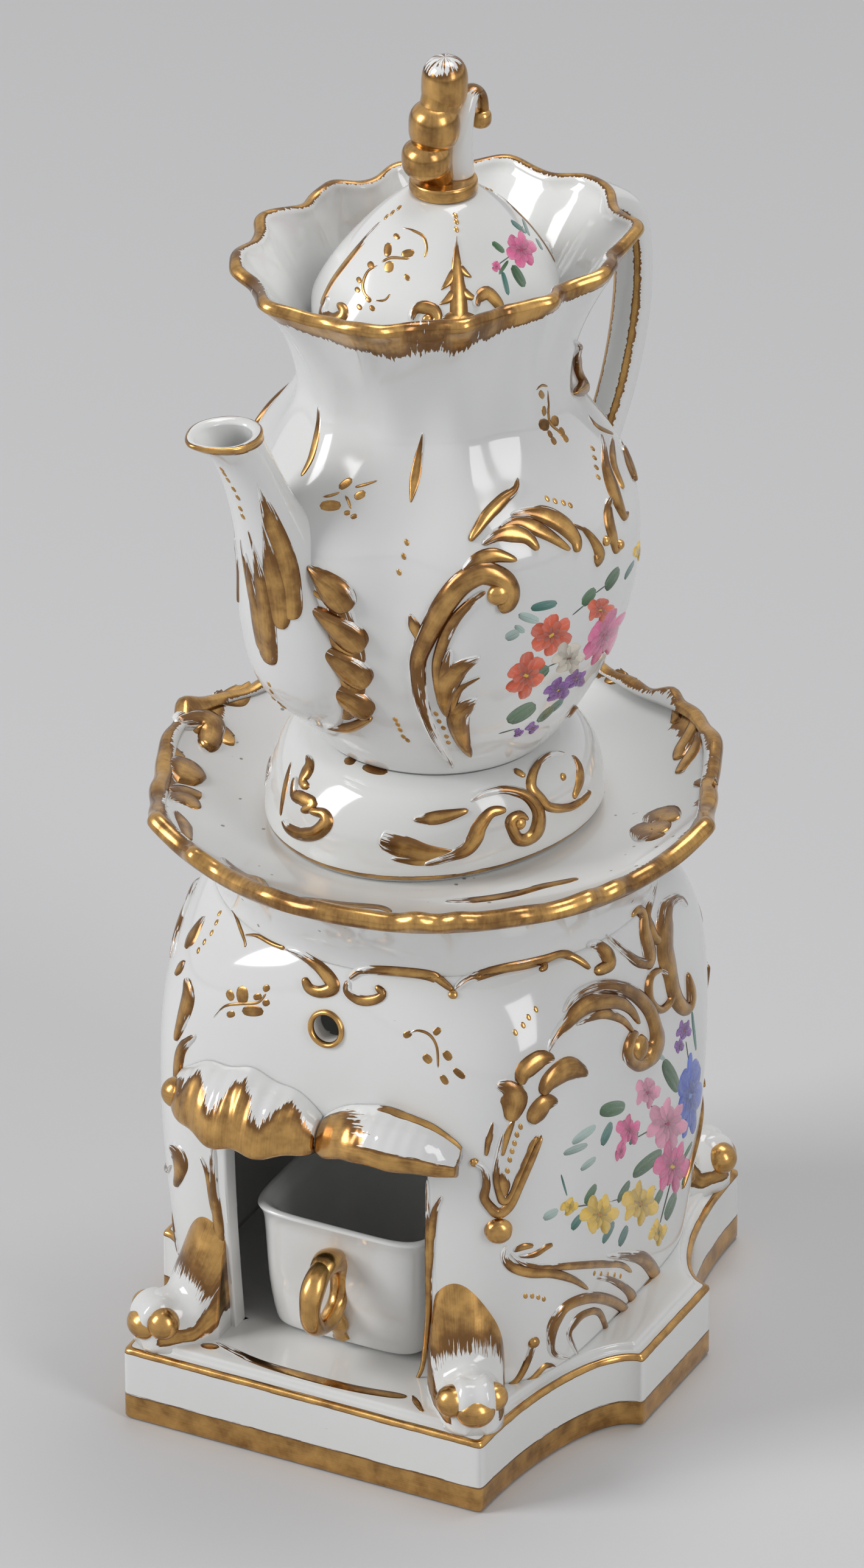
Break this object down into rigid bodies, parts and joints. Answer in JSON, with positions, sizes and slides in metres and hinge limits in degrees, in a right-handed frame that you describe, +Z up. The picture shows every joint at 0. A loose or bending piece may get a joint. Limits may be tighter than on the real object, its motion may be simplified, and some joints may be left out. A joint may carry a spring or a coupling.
{
  "type": "tea warmer",
  "caption": "Porcelain tea warmer: a lobed teapot with a spout, handle and domed lid on a square scroll-footed stand with a dish, a hooded lamp opening and a pull-out oil cup.",
  "frame": {"origin": "middle of the plinth's underside, on the floor", "axes": "+Z up, -Y to the front with the lamp opening, +X to the right seen from the front"},
  "size_m": [0.115, 0.1198, 0.2795],
  "materials": {
    "porcelain": "glossy white glaze with painted flowers and gilding",
    "gilt": "porcelain gilded all over, slightly worn",
    "cork": "bare cork",
    "tin": "thin bright sheet",
    "wick": "waxed cotton"
  },
  "bodies": {
    "stand": {"stand_plinth": "porcelain", "stand_body": "porcelain", "stand_dish": "porcelain", "hood_left_leaf": "porcelain", "hood_right_leaf": "porcelain", "front_left_foot": "porcelain", "front_right_foot": "porcelain", "back_left_foot": "porcelain", "back_right_foot": "porcelain"},
    "teapot": {"pot_body": "porcelain", "pot_collar": "porcelain", "pot_foot": "porcelain", "pot_spout": "porcelain", "pot_handle": "porcelain"},
    "lid": {"lid_dome": "porcelain", "lid_collar": "gilt", "lid_finial": "gilt"},
    "godet": {"godet_cup": "porcelain", "godet_handle": "gilt"},
    "float": {"float_cork": "cork", "float_plate": "tin", "float_wick": "wick"}
  },
  "joints": [
    {"name": "pot_lift", "type": "slide", "parent": "stand", "child": "teapot", "axis": [0, 0, 1], "range_m": [0, 0.1]},
    {"name": "lid_lift", "type": "slide", "parent": "teapot", "child": "lid", "axis": [0, 0, 1], "range_m": [0, 0.06]},
    {"name": "godet_slide", "type": "slide", "parent": "stand", "child": "godet", "axis": [0, -1, 0], "range_m": [0, 0.08]},
    {"name": "float_rise", "type": "slide", "parent": "godet", "child": "float", "axis": [0, 0, 1], "range_m": [0, 0.01]}
  ]
}
